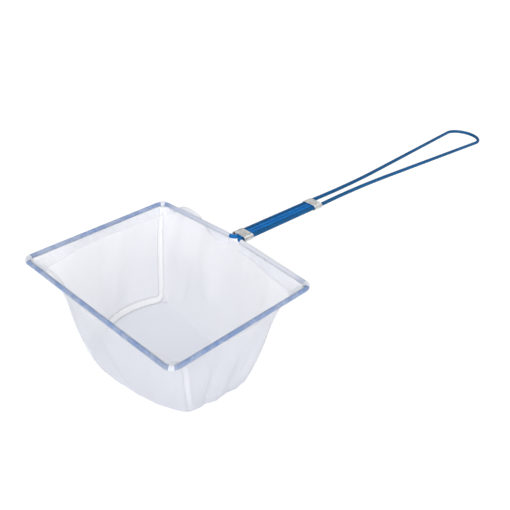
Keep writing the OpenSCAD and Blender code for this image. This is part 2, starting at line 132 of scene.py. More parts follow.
def both_halves(stations):
    """Places and section directions of the whole wire, from the far half's end to the near one's."""
    flip = np.array((1.0, -1, 1))
    far = [(p * flip, s * flip, u * flip) for p, s, u in stations[:0:-1]]
    whole = far + stations
    return [np.array([station[i] for station in whole]) for i in range(3)]


def grid_faces(rows, columns, closed, start):
    """Quads over a grid of points, closed into a tube if its columns run right round."""
    return [
        (start + r * columns + c, start + r * columns + (c + 1) % columns,
         start + (r + 1) * columns + (c + 1) % columns, start + (r + 1) * columns + c)
        for r in range(rows - 1) for c in range(columns if closed else columns - 1)
    ]


def lengths_along(points):
    """Distance from the first point to each point of a line."""
    return np.concatenate([[0], np.cumsum(np.linalg.norm(np.diff(points, axis=0), axis=1))])


def made(name, grids, material, node):
    """One piece of the net from grids of points, each (points, closed, (u, v)), where u and v are
    distances on the real surface. It rides on the root and replaces its CAD node."""
    points, faces, u_of, v_of = [], [], [], []
    for grid, closed, (u, v) in grids:
        faces += grid_faces(*grid.shape[:2], closed, sum(len(p) for p in points))
        points.append(grid.reshape(-1, 3))
        u_of.append(np.broadcast_to(u, grid.shape[:2]).reshape(-1))
        v_of.append(np.broadcast_to(v, grid.shape[:2]).reshape(-1))
    mesh = bpy.data.meshes.new(name)
    mesh.from_pydata((np.vstack(points) * MM).tolist(), [], faces)
    uv = np.stack([np.concatenate(u_of), np.concatenate(v_of)], 1) * MM
    layer = mesh.uv_layers.new(name="cloth")
    corners = np.zeros(len(mesh.loops), int)
    mesh.loops.foreach_get("vertex_index", corners)
    layer.data.foreach_set("uv", uv[corners].reshape(-1).astype(np.float32))
    mesh.polygons.foreach_set("use_smooth", [True] * len(mesh.polygons))
    mesh.materials.append(material)
    mesh.update()
    piece = bpy.data.objects.new(name, mesh)
    scene.collection.objects.link(piece)
    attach(piece, "root")
    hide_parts(node)
    return piece


def weld(piece):
    """Joins the points where a piece's grids meet, and turns its faces outwards."""
    bm = bmesh.new()
    bm.from_mesh(piece.data)
    bmesh.ops.remove_doubles(bm, verts=bm.verts, dist=WELD_DISTANCE * MM)
    bmesh.ops.recalc_face_normals(bm, faces=bm.faces)
    bm.to_mesh(piece.data)
    bm.free()
    piece.data.update()


def shader(name):
    """A new material, its node tree and its Principled shader."""
    material = bpy.data.materials.new(name)
    material.use_nodes = True
    return material, material.node_tree, material.node_tree.nodes["Principled BSDF"]


def put(tree, kind, inputs=None, **settings):
    """A shader node with its settings, and its inputs set to values or linked to sockets."""
    node = tree.nodes.new("ShaderNode" + kind)
    for name, value in settings.items():
        setattr(node, name, value)
    for name, value in (inputs or {}).items():
        if isinstance(value, bpy.types.NodeSocket):
            tree.links.new(value, node.inputs[name])
        else:
            node.inputs[name].default_value = value
    return node


def noise_over(tree, place, scale, detail, roughness=0.5):
    """Cloudy noise over a place, from 0 to 1."""
    clouds = {"Vector": place, "Scale": scale, "Detail": detail, "Roughness": roughness}
    return put(tree, "TexNoise", clouds).outputs["Fac"]


def object_place(tree):
    """The place on the net that a material's noise is laid over."""
    return put(tree, "TexCoord").outputs["Object"]


def grey(value):
    return (value,) * 3


def ramp(tree, factor, *stops):
    """A colour ramp over a factor, with stops (place, colour)."""
    node = put(tree, "ValToRGB", {"Fac": factor})
    elements = node.color_ramp.elements
    while len(elements) < len(stops):
        elements.new(0.5)
    for element, (place, colour) in zip(elements, stops):
        element.position = place
        element.color = (*colour, 1)
    return node.outputs["Color"]


def spread(tree, value, from_low, from_high, to_low, to_high):
    """A value taken from one range to another, and kept inside it."""
    ranges = {"From Min": from_low, "From Max": from_high, "To Min": to_low, "To Max": to_high}
    return put(tree, "MapRange", {"Value": value, **ranges}).outputs[0]


def result_of(tree, operation, *values):
    """The result of one arithmetic operation on values or sockets."""
    return put(tree, "Math", dict(enumerate(values)), operation=operation).outputs[0]


def bumped(tree, bsdf, height, depth, strength):
    """Links a height to the shader's normal as a bump of a depth in millimetres."""
    bump = put(tree, "Bump", {"Height": height, "Distance": depth * MM, "Strength": strength})
    tree.links.new(bump.outputs["Normal"], bsdf.inputs["Normal"])


def finished(tree, surface):
    """Links a whole shader to the material's surface."""
    tree.links.new(surface, tree.nodes["Material Output"].inputs["Surface"])


def blue_coating(name, deep, pale):
    """Dipped blue plastic, a little uneven in shade and gloss."""
    material, tree, bsdf = shader(name)
    place = object_place(tree)
    cloudy, fine = noise_over(tree, place, 90.0, 3.0, 0.6), noise_over(tree, place, 1400.0, 2.0)
    tree.links.new(ramp(tree, cloudy, (0.3, deep), (0.7, pale)), bsdf.inputs["Base Color"])
    tree.links.new(ramp(tree, fine, (0.3, grey(0.2)), (0.75, grey(0.34))), bsdf.inputs["Roughness"])
    bsdf.inputs["IOR"].default_value = 1.5
    bsdf.inputs["Specular IOR Level"].default_value = 0.16
    bumped(tree, bsdf, fine, 0.03, 0.35)
    return material


def drawn_steel():
    """Bare wire under the coat, with fine streaks."""
    material, tree, bsdf = shader("drawn_steel")
    streaks = noise_over(tree, object_place(tree), 900.0, 4.0)
    dark, bright = DRAWN_STEEL
    tree.links.new(ramp(tree, streaks, (0.35, dark), (0.7, bright)), bsdf.inputs["Base Color"])
    tree.links.new(ramp(tree, streaks, (0.3, grey(0.28)), (0.7, grey(0.46))), bsdf.inputs["Roughness"])
    bsdf.inputs["Metallic"].default_value = 1.0
    return material


def angles_round(sides):
    return np.linspace(0, 2 * np.pi, sides, endpoint=False)


def rings_round(line, side, top, radius, sides):
    """Rings round a line, from the two square directions at each of its points."""
    angle = angles_round(sides)[:, None]
    ring = side[:, None] * np.cos(angle) + top[:, None] * np.sin(angle)
    return line[:, None] + np.broadcast_to(radius, len(line))[:, None, None] * ring


def coated(name, wire, material, node):
    """The plastic coat on a wire: its skin, its bore on the steel, and its two trimmed ends."""
    place = wire[0]
    along = lengths_along(place)
    uneven = np.array([COAT_RIPPLE * noise.noise(Vector(p * RIPPLE_FREQUENCY)) for p in place])
    skin = rings_round(*wire, COAT_RADIUS + uneven, COAT_SIDES)
    bore = rings_round(*wire, CORE_RADIUS, COAT_SIDES)
    around = angles_round(COAT_SIDES) * COAT_RADIUS
    grids = [(skin, True, (along[:, None], around)), (bore[::-1], True, (along[::-1, None], around))]
    for end, order in ((0, -1), (-1, 1)):
        face = np.stack([skin[end], skin[end] * 0.5 + bore[end] * 0.5, bore[end]])[::order]
        grids.append((face, True, (np.array([0, 0.15, 0.3])[:, None], around)))
    weld(made(name, grids, material, node))


half_width, half_length = MOUTH_WIDTH / 2, MOUTH_LENGTH / 2
tail_y = WIRE_PITCH / 2
back_turn = 90 - BOW_ANGLE
corner_cut = CORNER_BEND * tan_of(back_turn / 2)
tail_cut = TAIL_BEND * tan_of(back_turn / 2)
droop_cut = SHORT_BEND * tan_of(HANDLE_DROOP / 2)
handle_x = half_length + (half_width - tail_y) * tan_of(BOW_ANGLE) + tail_cut + droop_cut
tail_end = half_length + REAR_CLIP_START + CLIP_LENGTH - TAIL_INSIDE_CLIP
frame_wire = both_halves(bent_wire([
    [half_width - CORNER_BEND, CORNER_BEND, 90, 0],
    [MOUTH_LENGTH - CORNER_BEND - corner_cut, CORNER_BEND, back_turn, 0],
    [(half_width - tail_y) / cos_of(BOW_ANGLE) - corner_cut - tail_cut, TAIL_BEND, back_turn, 180],
    [0, SHORT_BEND, HANDLE_DROOP, -90],
    [tail_end - handle_x - droop_cut, 0, 0, 0],
], (-half_length, 0, RIM_Z)))
FRAME_BLUE = blue_coating("frame_coating", *FRAME_BLUES)
STEEL_UNDER_COAT = drawn_steel()
coated("frame_wire_coat", frame_wire, FRAME_BLUE, "frame_wire_coating")
for core in ("frame_wire_core", "handle_loop_core"):
    for material_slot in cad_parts[core].material_slots:
        material_slot.material = STEEL_UNDER_COAT

# ---- Handle loop -----------------------------------------------------------------------------
# A second coated wire, bent to a long U whose legs lie outside the frame's tails and spread to a
# round hanging bow.
HANDLE_REACH = 293.0
LEG_PINCH = 1.5
LEG_FLARE = 3.9
LEG_SWEEP = 800.0
LOOP_BLUES = ((0.0016, 0.064, 0.178), (0.003, 0.088, 0.242))

leg_y = 1.5 * WIRE_PITCH
leg_start = FRONT_CLIP_START + COAT_RADIUS
pinch_x = REAR_CLIP_START + CLIP_LENGTH + 2 * COAT_RADIUS
flare_x = pinch_x + SHORT_BEND * sin_of(LEG_PINCH) + LEG_SWEEP * (sin_of(LEG_PINCH) + sin_of(LEG_FLARE))
flare_y = leg_y - SHORT_BEND * (1 - cos_of(LEG_PINCH)) + LEG_SWEEP * (cos_of(LEG_PINCH) - cos_of(LEG_FLARE))
bow_radius = (flare_y + (HANDLE_REACH - flare_x) * tan_of(LEG_FLARE)) / (
    cos_of(LEG_FLARE) + (1 + sin_of(LEG_FLARE)) * tan_of(LEG_FLARE))
flare_length = (HANDLE_REACH - bow_radius * (1 + sin_of(LEG_FLARE)) - flare_x) / cos_of(LEG_FLARE)


def along_handle(points):
    """Points with x measured from the handle side's corners, carried to the drooping handle."""
    x, y, z = points[..., 0] + half_length - handle_x, points[..., 1], points[..., 2]
    level, down = cos_of(HANDLE_DROOP), sin_of(HANDLE_DROOP)
    return np.stack([handle_x + x * level + z * down, y, RIM_Z - x * down + z * level], -1)


loop_place, loop_left, loop_up = both_halves(bent_wire([
    [0, bow_radius, 90 + LEG_FLARE, 180],
    [flare_length, LEG_SWEEP, LEG_FLARE + LEG_PINCH, 0],
    [0, SHORT_BEND, LEG_PINCH, 180],
    [pinch_x - leg_start, 0, 0, 0],
], (HANDLE_REACH, 0, 0)))
origin = along_handle(np.zeros(3))
handle_loop = (along_handle(loop_place), along_handle(loop_left) - origin, along_handle(loop_up) - origin)
LOOP_BLUE = blue_coating("loop_coating", *LOOP_BLUES)
coated("handle_loop_coat", handle_loop, LOOP_BLUE, "handle_loop_coating")

# ---- Clips -----------------------------------------------------------------------------------
# Two short lengths of steel strip with a pressed grid pattern, crimped tight round the flat row
# of four wires. The strip's two ends meet under the row.
CLIP_THICKNESS = 0.5
CLIP_CLEARANCE = 0.1
CLIP_SLIT = 0.6
CLIP_EDGE = 0.35
CLIP_EDGE_SHARE = 0.55
CLIP_STEPS_ROUND = 190
CLIP_STEPS_ALONG = 74
KNURL_PITCH = 1.25
KNURL_DEPTH = 0.13
KNURL_BORDER = 0.9
KNURL_FADE = 0.3
CLIP_GREYS = ((0.5, 0.5, 0.49), (0.78, 0.785, 0.78))


def clip_steel():
    """Bright strip, worn and a little grimy."""
    material, tree, bsdf = shader("clip_steel")
    place = object_place(tree)
    worn, grime = noise_over(tree, place, 650.0, 5.0, 0.65), noise_over(tree, place, 260.0, 2.0)
    dull, bright = CLIP_GREYS
    tree.links.new(ramp(tree, worn, (0.3, dull), (0.68, bright)), bsdf.inputs["Base Color"])
    tree.links.new(ramp(tree, grime, (0.3, grey(0.38)), (0.75, grey(0.58))), bsdf.inputs["Roughness"])
    bsdf.inputs["Metallic"].default_value = 1.0
    bumped(tree, bsdf, worn, 0.04, 0.5)
    return material


CLIP_STEEL = clip_steel()


def strip_path(middle):
    """The strip's path round the row: distances along it, and y, z and facing direction at each."""
    flat, turn, top = leg_y - CLIP_SLIT / 2, math.pi * middle, 2 * leg_y
    along = np.linspace(0, 2 * flat + 2 * turn + top, CLIP_STEPS_ROUND)

    def on_turn(centre, a):
        return centre + middle * math.cos(a), middle * math.sin(a), math.cos(a), math.sin(a)

    stations = []
    for d in along:
        if d < flat:
            stations.append((CLIP_SLIT / 2 + d, -middle, 0, -1))
        elif d < flat + turn:
            stations.append(on_turn(leg_y, -math.pi / 2 + (d - flat) / middle))
        elif d < flat + turn + top:
            stations.append((leg_y - (d - flat - turn), middle, 0, 1))
        elif d < flat + 2 * turn + top:
            stations.append(on_turn(-leg_y, math.pi / 2 + (d - flat - turn - top) / middle))
        else:
            stations.append((-leg_y + (d - flat - 2 * turn - top), -middle, 0, -1))
    return along, np.array(stations, float).T


def clip(name, start, node):
    """A strip wrapped from one side of the slit to the other, knurled on its outside."""
    half = CLIP_THICKNESS / 2
    s, (y, z, facing_y, facing_z) = strip_path(COAT_RADIUS + CLIP_CLEARANCE + half)
    x = np.linspace(0, CLIP_LENGTH, CLIP_STEPS_ALONG)
    from_edge = np.minimum(x, CLIP_LENGTH - x)
    rounded = 1 - (1 - np.minimum(from_edge / CLIP_EDGE, 1)) ** 2
    surface = half * (CLIP_EDGE_SHARE + (1 - CLIP_EDGE_SHARE) * rounded[:, None])
    border = np.clip((from_edge - KNURL_BORDER) / KNURL_FADE, 0, 1)
    ss, xx = np.meshgrid(s, x)
    across, down = np.sin(np.pi * ss / KNURL_PITCH), np.sin(np.pi * (xx - KNURL_BORDER) / KNURL_PITCH)
    pressed = KNURL_DEPTH * (1 - (np.abs(across) * np.abs(down)) ** 0.5) * border[:, None]

    def layer(proud):
        return along_handle(np.stack([start + xx, y + facing_y * proud, z + facing_z * proud], -1))

    outer, inner = layer(surface - pressed), layer(-surface)
    grids = [(outer, False, (ss, xx)), (inner[:, ::-1], False, (ss[:, ::-1], xx))]
    lip_height = np.array([[0], [0.3]])
    for end in (0, -1):
        grids.append((np.stack([outer[end], inner[end]]), False, (ss[:2], lip_height)))
    for end in (0, -1):
        grids.append((np.stack([outer[:, end], inner[:, end]]), False, (xx[:, :2].T, lip_height)))
    weld(made(name, grids, CLIP_STEEL, node))


clip("front_crimp", FRONT_CLIP_START, "front_clip")
clip("rear_crimp", REAR_CLIP_START, "rear_clip")

# ---- Bag panels ------------------------------------------------------------------------------
# Fine knotless white mesh. One strip makes the front wall, the floor and the handle-side wall,
# and two gussets close the sides. It is pinched at the rim's corners, and hangs slack between.
BAG_DEPTH = 68.0
FLOOR_RADIUS = 6.0
FLOOR_CORNERS = [(42.3, 52.25), (-28.3, 37.25), (-17.3, -38.25), (28.3, -42.25)]
SWELL = {"right": 1.0, "front": 2.0, "left": 1.0, "back": 3.0}
FOOT_BOW = {"right": 12.0, "front": 7.0, "left": 1.5, "back": -1.0}
CORNER_PINCH = 0.25
PINCH_DEPTH = 16.0
FOOT_FULLNESS = 0.6
MESH_PITCH = 0.5
MESH_TINT = (0.81, 0.825, 0.89)
MESH_OPACITY = (0.42, 0.78)
MESH_GLOW = 0.4
MESH_UNEVENNESS = 0.02
THREAD_WANDER = 0.9
THREAD_EDGE = (0.45, 0.95)
# Where cloth is bunched, as shares of the way from a rim corner to the handle, and how far below its
# middle the wire begins to show and shows fully
BUNCH_PLACES = (0.08, 0.2, 0.9)
OPEN_FROM, OPEN_TO = 0.25, 0.75
HALF_CORNER = [0, 0.13, 0.26, 0.39, 0.6, 0.8, 1]
SIDE_STEPS = 50
WALL_STEPS = 34
WALL_TOP = 1.73
STITCH_ROW = 5.9
HEM_HEIGHT = 7.0
HEM_ROWS = [WALL_TOP, 2.6, 3.7, 4.8, STITCH_ROW, HEM_HEIGHT]
depths = np.array(HEM_ROWS + list(np.linspace(HEM_HEIGHT, BAG_DEPTH, WALL_STEPS)[1:]))


def outward(a, b):
    """The level direction that a side faces, run from a to b with the bag on its left."""
    d = np.array(b, float) - np.array(a, float)
    d /= np.linalg.norm(d)
    return np.array((d[1], -d[0]))


def side_stations(before, start, end, after, start_radius, end_radius, steps):
    """Points and facing directions along one side, from the middle of one corner to the next."""
    start, end = np.array(start, float), np.array(end, float)
    facing_in, facing_side, facing_out = outward(before, start), outward(start, end), outward(end, after)
    side_angle = math.atan2(facing_side[1], facing_side[0])
    start_turn = math.acos(min(1, facing_in @ facing_side)) / 2
    end_turn = math.acos(min(1, facing_side @ facing_out)) / 2
    start_centre = start - (facing_in + facing_side) / (1 + facing_in @ facing_side) * start_radius
    end_centre = end - (facing_side + facing_out) / (1 + facing_side @ facing_out) * end_radius
    first, last = start_centre + facing_side * start_radius, end_centre + facing_side * end_radius

    def on_corner(centre, radius, angle):
        way = np.array((math.cos(angle), math.sin(angle)))
        return centre + way * radius, way

    stations = [on_corner(start_centre, start_radius, side_angle - start_turn * (1 - share))
                for share in HALF_CORNER[:-1]]
    stations += [(first + (last - first) * k / steps, facing_side) for k in range(steps + 1)]
    stations += [on_corner(end_centre, end_radius, side_angle + end_turn * (1 - share))
                 for share in HALF_CORNER[-2::-1]]
    return np.array([p for p, _ in stations]), np.array([w for _, w in stations])


MOUTH_CORNERS = [(half_length, half_width), (-half_length, half_width),
                 (-half_length, -half_width), (half_length, -half_width)]
mouth_peak = (half_length + half_width * tan_of(BOW_ANGLE), 0.0)
floor_peak = tuple((np.array(FLOOR_CORNERS[0]) + np.array(FLOOR_CORNERS[3])) / 2)
ARC_STEPS = len(HALF_CORNER) - 1


def plain_side(corners, peak, i, radius):
    """A side that is straight between its two corners: 0 right, 1 front or 2 left."""
    before = peak if i == 0 else corners[i - 1]
    after = peak if i == 2 else corners[i + 2]
    return side_stations(before, corners[i], corners[i + 1], after, radius, radius, SIDE_STEPS)


def peaked_side(corners, peak, radius):
    """The handle side, in two halves that meet at the peak, with as many stations as the front."""
    near = side_stations(corners[2], corners[3], peak, corners[0], radius, 0, SIDE_STEPS // 2)
    far = side_stations(corners[3], peak, corners[0], corners[1], 0, radius, SIDE_STEPS // 2)
    keep = ARC_STEPS + SIDE_STEPS // 2
    points, facings = (np.vstack([near[i][:keep], far[i][ARC_STEPS:]]) for i in (0, 1))
    facings[keep] = (1, 0)
    return points, facings


mouth_shape, floor_shape = (MOUTH_CORNERS, mouth_peak), (FLOOR_CORNERS, floor_peak)
OUTLINES = {wall: (plain_side(*mouth_shape, i, CORNER_BEND), plain_side(*floor_shape, i, FLOOR_RADIUS))
            for i, wall in enumerate(("right", "front", "left"))}
OUTLINES["back"] = (peaked_side(*mouth_shape, CORNER_BEND), peaked_side(*floor_shape, FLOOR_RADIUS))

# Folds as the cloth hangs: wall, (share along, depth) from and to, how far out, half width
FOLDS = [
    ("back", (0.60, 40), (0.72, 12), -2.2, 7), ("back", (0.86, 62), (0.80, 22), 1.8, 6),
    ("back", (0.30, 60), (0.38, 25), 1.6, 8), ("back", (0.16, 58), (0.10, 20), -1.5, 6),
    ("left", (0.22, 66), (0.30, 30), -3.4, 4.5), ("left", (0.40, 66), (0.46, 26), 2.4, 6),
    ("left", (0.62, 66), (0.58, 34), -1.8, 5), ("left", (0.80, 64), (0.84, 22), 2.0, 7),
    ("front", (0.20, 60), (0.14, 22), 1.6, 7), ("front", (0.45, 66), (0.40, 34), -1.2, 8),
    ("front", (0.78, 64), (0.84, 24), 1.5, 7), ("right", (0.30, 56), (0.22, 18), 1.6, 8),
    ("right", (0.62, 60), (0.70, 22), -1.6, 8), ("right", (0.85, 52), (0.90, 16), 1.2, 6),
]
FOLD_FADE = 0.6
# Unevenness as the cloth hangs: how far in or out, and how often across and down
GATHERS = (0.55, 0.16, 0.05)
BILLOWS = (1.5, 0.045, 0.03)
CRINKLES = (0.4, 0.13, 0.08)
GATHER_DEPTH, GATHER_SPREAD = 9, 13
SLACK_POWER = 0.7
RIPPLE_SEEDS = {"right": 1.3, "front": 4.1, "left": 7.7, "back": 11.9}
# Folds and ripples fade out over these distances below the wire and above the foot, and over this
# share of the side at each corner
FREE_BELOW_WIRE, FREE_FROM_CORNER = 8, 0.07
FOLD_FOOT, FOLD_AT_FOOT, RIPPLE_FOOT = 10, 0.35, 5
# Next to the far corner of the handle side, the hem is turned up and out over the wire
TURNED_HEM = {"wall": "back", "along": 0.885, "to_corner": 0.085, "to_handle": 0.17,
              "angle": 106.0, "settles": 24.0}


def along_side(points):
    """How far along a side each point is, as a share of its straight length."""
    way = points[-1] - points[0]
    return np.clip((points - points[0]) @ way / (way @ way), 0, 1)


def fold_depth(wall, u, depth, width):
    """How far out a place of a wall stands because of its folds. width is the wall's there."""
    total = np.zeros(np.broadcast(u, depth).shape)
    for name, (u0, d0), (u1, d1), out, half in FOLDS:
        if name != wall:
            continue
        ax, ay, bx, by = u0 * width, d0, u1 * width, d1
        x, y = u * width, depth
        along = ((x - ax) * (bx - ax) + (y - ay) * (by - ay)) / ((bx - ax) ** 2 + (by - ay) ** 2)
        along = np.clip(along, 0, 1)
        away = np.hypot(x - ax - along * (bx - ax), y - ay - along * (by - ay))
        total = total + out * np.exp(-(away / half) ** 2) * (1 - FOLD_FADE * along)
    return total


def unevenness(kind, point, seed):
    """How far out a place of the cloth stands by one kind of unevenness."""
    size, across, down = kind
    x, y, z = point
    return size * noise.noise(Vector((x * across, y * across, z * down + seed)))


def ripples(wall, points, depth):
    """Small gathers below the hem and soft unevenness lower down."""
    seed = RIPPLE_SEEDS[wall]
    out = np.zeros(points.shape[:2])
    for r in range(points.shape[0]):
        gather = math.exp(-((depth[r] - GATHER_DEPTH) / GATHER_SPREAD) ** 2)
        slack = math.sin(math.pi * min(1, depth[r] / BAG_DEPTH)) ** SLACK_POWER
        for c in range(points.shape[1]):
            place = points[r, c]
            out[r, c] = (gather * unevenness(GATHERS, place, seed)
                         + slack * unevenness(BILLOWS, place, seed)
                         + slack * unevenness(CRINKLES, place, seed))
    return out


def hem_turn(wall, t):
    """Angle in radians by which a wall's hem is turned about the wire, outwards where positive."""
    if wall != TURNED_HEM["wall"]:
        return np.zeros_like(t)
    away = t - TURNED_HEM["along"]
    reach = np.where(away > 0, TURNED_HEM["to_corner"], TURNED_HEM["to_handle"])
    return math.radians(TURNED_HEM["angle"]) * np.exp(-np.abs(away / reach) ** 3)


def wall_surface(wall):
    """Grid of points of a wall's cloth, rows down from the rim and columns along it."""
    (mouth, mouth_facing), (floor, floor_facing) = OUTLINES[wall]
    depth = depths[:, None]
    share = depth / BAG_DEPTH
    t = along_side(mouth)[None]
    pinch_power = math.log(0.5) / math.log(PINCH_DEPTH / BAG_DEPTH)
    pinch = CORNER_PINCH * np.sin(np.pi * share ** pinch_power) ** 2
    drawn = (share + pinch * np.cos(np.pi * t) ** 2)[..., None]
    level = mouth[None] * (1 - drawn) + floor[None] * drawn
    facing = mouth_facing[None] * (1 - share[..., None]) + floor_facing[None] * share[..., None]
    facing = facing / np.linalg.norm(facing, axis=2, keepdims=True)
    out = (SWELL[wall] * np.sin(np.pi * share) + FOOT_BOW[wall] * share) * np.sin(np.pi * t) ** FOOT_FULLNESS

    width = np.linalg.norm(mouth[-1] - mouth[0])
    below_wire = np.clip((depth - WALL_TOP) / FREE_BELOW_WIRE, 0, 1)
    free = below_wire * np.clip(np.minimum(t, 1 - t) / FREE_FROM_CORNER, 0, 1)
    above_foot = BAG_DEPTH - depth
    out = out + free * np.clip(above_foot / FOLD_FOOT, FOLD_AT_FOOT, 1) * fold_depth(wall, t, depth, width)

    turn = hem_turn(wall, t)
    on_hem = np.minimum(depth, HEM_HEIGHT)
    settled = np.clip((depth - HEM_HEIGHT) / TURNED_HEM["settles"], 0, 1)
    held = (1 - settled) ** 2 * (1 + 2 * settled)
    out = out + on_hem * np.sin(turn) * held
    height = RIM_Z - depth + on_hem * (1 - np.cos(turn)) * held

    level = level + facing * out[..., None]
    points = np.concatenate([level, np.broadcast_to(height[..., None], level.shape[:2] + (1,))], 2)
    rippled = ripples(wall, points, depths) * free * np.clip(above_foot / RIPPLE_FOOT, 0, 1)
    points[..., :2] += facing * rippled[..., None]
    return points


walls = {wall: wall_surface(wall) for wall in OUTLINES}


def floor_surface():
    """Grid of the floor, rows from the front edge to the back edge and columns from left to right."""
    front, back = walls["front"][-1][::-1], walls["back"][-1]
    left, right = walls["left"][-1], walls["right"][-1][::-1]
    v, u = np.linspace(0, 1, len(left))[:, None, None], np.linspace(0, 1, len(front))[None, :, None]
    ruled = front[None] * (1 - v) + back[None] * v + left[:, None] * (1 - u) + right[:, None] * u
    return ruled - (front[0] * (1 - u) + front[-1] * u) * (1 - v) - (back[0] * (1 - u) + back[-1] * u) * v


def woven(tree, opacity, pitch):
    """A plain weave on the cloth's own map: how solid it is at each place, and its height."""
    uv = put(tree, "UVMap", uv_map="cloth").outputs["UV"]
    wander = put(tree, "TexNoise", {"Vector": uv, "Scale": 160.0, "Detail": 2.0}).outputs["Color"]
    moved = put(tree, "VectorMath", {0: wander, "Scale": THREAD_WANDER * MM}, operation="SCALE").outputs[0]
    place = put(tree, "VectorMath", {0: uv, 1: moved}, operation="ADD").outputs[0]
    split = put(tree, "SeparateXYZ", {0: place}).outputs
    threads = []
    for axis in ("X", "Y"):
        bar = result_of(tree, "SINE", result_of(tree, "MULTIPLY", split[axis], math.pi / (pitch * MM)))
        threads.append(result_of(tree, "MULTIPLY", bar, bar))
    height = result_of(tree, "MAXIMUM", *threads)
    return spread(tree, height, *THREAD_EDGE, *opacity), height


def layers_by_place(tree, place, bunched, open_below):
    """How much more layers close the cloth's holes: at a rim corner, next to it, and at the handle."""
    split = put(tree, "SeparateXYZ", {0: place}).outputs
    inwards = spread(tree, result_of(tree, "ABSOLUTE", split["Y"]), half_width * MM, 0.0, 0.0, 1.0)
    layers = ramp(tree, inwards, *((at, grey(share)) for at, share in zip(BUNCH_PLACES, bunched)))
    if open_below:
        low = ramp(tree, inwards, (0.15, grey(0.3)), (0.5, grey(0.45)), (0.8, grey(1.0)))
        cover = spread(tree, split["Z"], (RIM_Z - OPEN_TO) * MM, (RIM_Z - OPEN_FROM) * MM, low, 1.0)
        layers = result_of(tree, "MULTIPLY", layers, cover)
    return layers


def cloth(name, tint, opacity, pitch, glow, patchy=0.0, bunched=None, open_below=False):
    """Translucent mesh: threads that scatter light both ways, with open holes between them. It can be
    patchy, or bunched into more layers by place. If open_below, the wire's lower edge shows through
    the bunched cloth between the corner and the handle."""
    material, tree, bsdf = shader(name)
    solid, height = woven(tree, opacity, pitch)
    place = object_place(tree)
    if patchy:
        patches = noise_over(tree, place, 120.0, 3.0, 0.6)
        solid = result_of(tree, "MULTIPLY", solid, spread(tree, patches, 0.35, 0.65, 1 - patchy, 1 + patchy))
    if bunched:
        layers = layers_by_place(tree, place, bunched, open_below)
        solid = put(tree, "Mix", {"Factor": layers, "A": solid, "B": 1.0}).outputs["Result"]
    darker = tuple(c - MESH_UNEVENNESS for c in tint)
    colour = ramp(tree, noise_over(tree, place, 38.0, 4.0, 0.55), (0.35, darker), (0.65, tint))
    tree.links.new(colour, bsdf.inputs["Base Color"])
    bsdf.inputs["Roughness"].default_value = 0.75
    bsdf.inputs["Sheen Weight"].default_value = 0.15
    bsdf.inputs["Specular IOR Level"].default_value = 0.3
    bumped(tree, bsdf, height, 0.06, 0.6)
    finished(tree, see_through(tree, bsdf, colour, glow, solid))
    return material


def see_through(tree, bsdf, colour, glow, solid):
    """A shader that lets a share of the light glow through its threads, and is open between them."""
    through = put(tree, "BsdfTranslucent", {"Color": colour}).outputs[0]
    body = put(tree, "MixShader", {0: glow, 1: bsdf.outputs[0], 2: through}).outputs[0]
    hole = put(tree, "BsdfTransparent").outputs[0]
    return put(tree, "MixShader", {0: solid, 1: hole, 2: body}).outputs[0]


def surface_map(grid):
    """Distances along and down a grid of cloth, for its weave."""
    across, down = (np.linalg.norm(np.diff(grid, axis=axis), axis=2) for axis in (1, 0))
    u = np.concatenate([np.zeros((grid.shape[0], 1)), np.cumsum(across, 1)], 1)
    v = np.concatenate([np.zeros((1, grid.shape[1])), np.cumsum(down, 0)], 0)
    return u - u[:, u.shape[1] // 2][:, None], v


MESH_CLOTH = cloth("mesh_cloth", MESH_TINT, MESH_OPACITY, MESH_PITCH, MESH_GLOW)


def panel(name, grid, node):
    """One of the bag's three pieces of mesh."""
    return made(name, [(grid, False, surface_map(grid))], MESH_CLOTH, node)


strip_grid = np.vstack([walls["front"][:, ::-1], floor_surface()[1:-1], walls["back"][::-1]])
bag_strip = panel("bag_strip_cloth", strip_grid, "bag_strip")
gussets = {wall: panel(f"{wall}_gusset_cloth", walls[wall], f"{wall}_gusset") for wall in ("left", "right")}

# ---- Hems ------------------------------------------------------------------------------------
# The panels' upper edges, turned over the frame wire and drawn tight, so that the blue coat shows
# through one layer. Below the wire three layers lie together as a whiter band.
SLEEVE_RADIUS = 1.46
HEM_LEG = 0.22
# Puckers over the wire, and in the rows above the hem's lower edge: how deep, and how often
HEM_PUCKER, PUCKER_FREQUENCY = 0.06, 0.3
EDGE_PUCKER, EDGE_FREQUENCY, PUCKERED_ROWS = 0.5, 0.35, 3
FOLD_STEPS = 14
FOLD_START, FOLD_SWEEP = -78, 336
HEM_END = 4.2
HEM_PITCH = 0.42
HEM_GLOW = 0.3
HEM_TINT, HEM_OPACITY = (0.92, 0.925, 0.94), (0.25, 0.5)
BUNCHED_TINT, BUNCHED_OPACITY = (0.93, 0.94, 0.97), (0.2, 0.45)
HEM_CLOTH = cloth("hem_cloth", HEM_TINT, HEM_OPACITY, HEM_PITCH, HEM_GLOW, patchy=0.26)
FAR_HEM_CLOTH = cloth("bunched_far_hem_cloth", BUNCHED_TINT, BUNCHED_OPACITY, HEM_PITCH, HEM_GLOW,
                      bunched=(0.0, 0.5, 0.8))
NEAR_HEM_CLOTH = cloth("bunched_near_hem_cloth", BUNCHED_TINT, BUNCHED_OPACITY, HEM_PITCH, HEM_GLOW,
                       bunched=(0.45, 0.9, 0.97), open_below=True)


def facings_of(grid):
    """Outward normals of a wall's grid."""
    normal = np.cross(np.gradient(grid, axis=1), -np.gradient(grid, axis=0))
    normal /= np.linalg.norm(normal, axis=2, keepdims=True)
    return normal * np.sign(np.median((normal[..., :2] * grid[..., :2]).sum(-1)))


normals = {wall: facings_of(walls[wall]) for wall in walls}


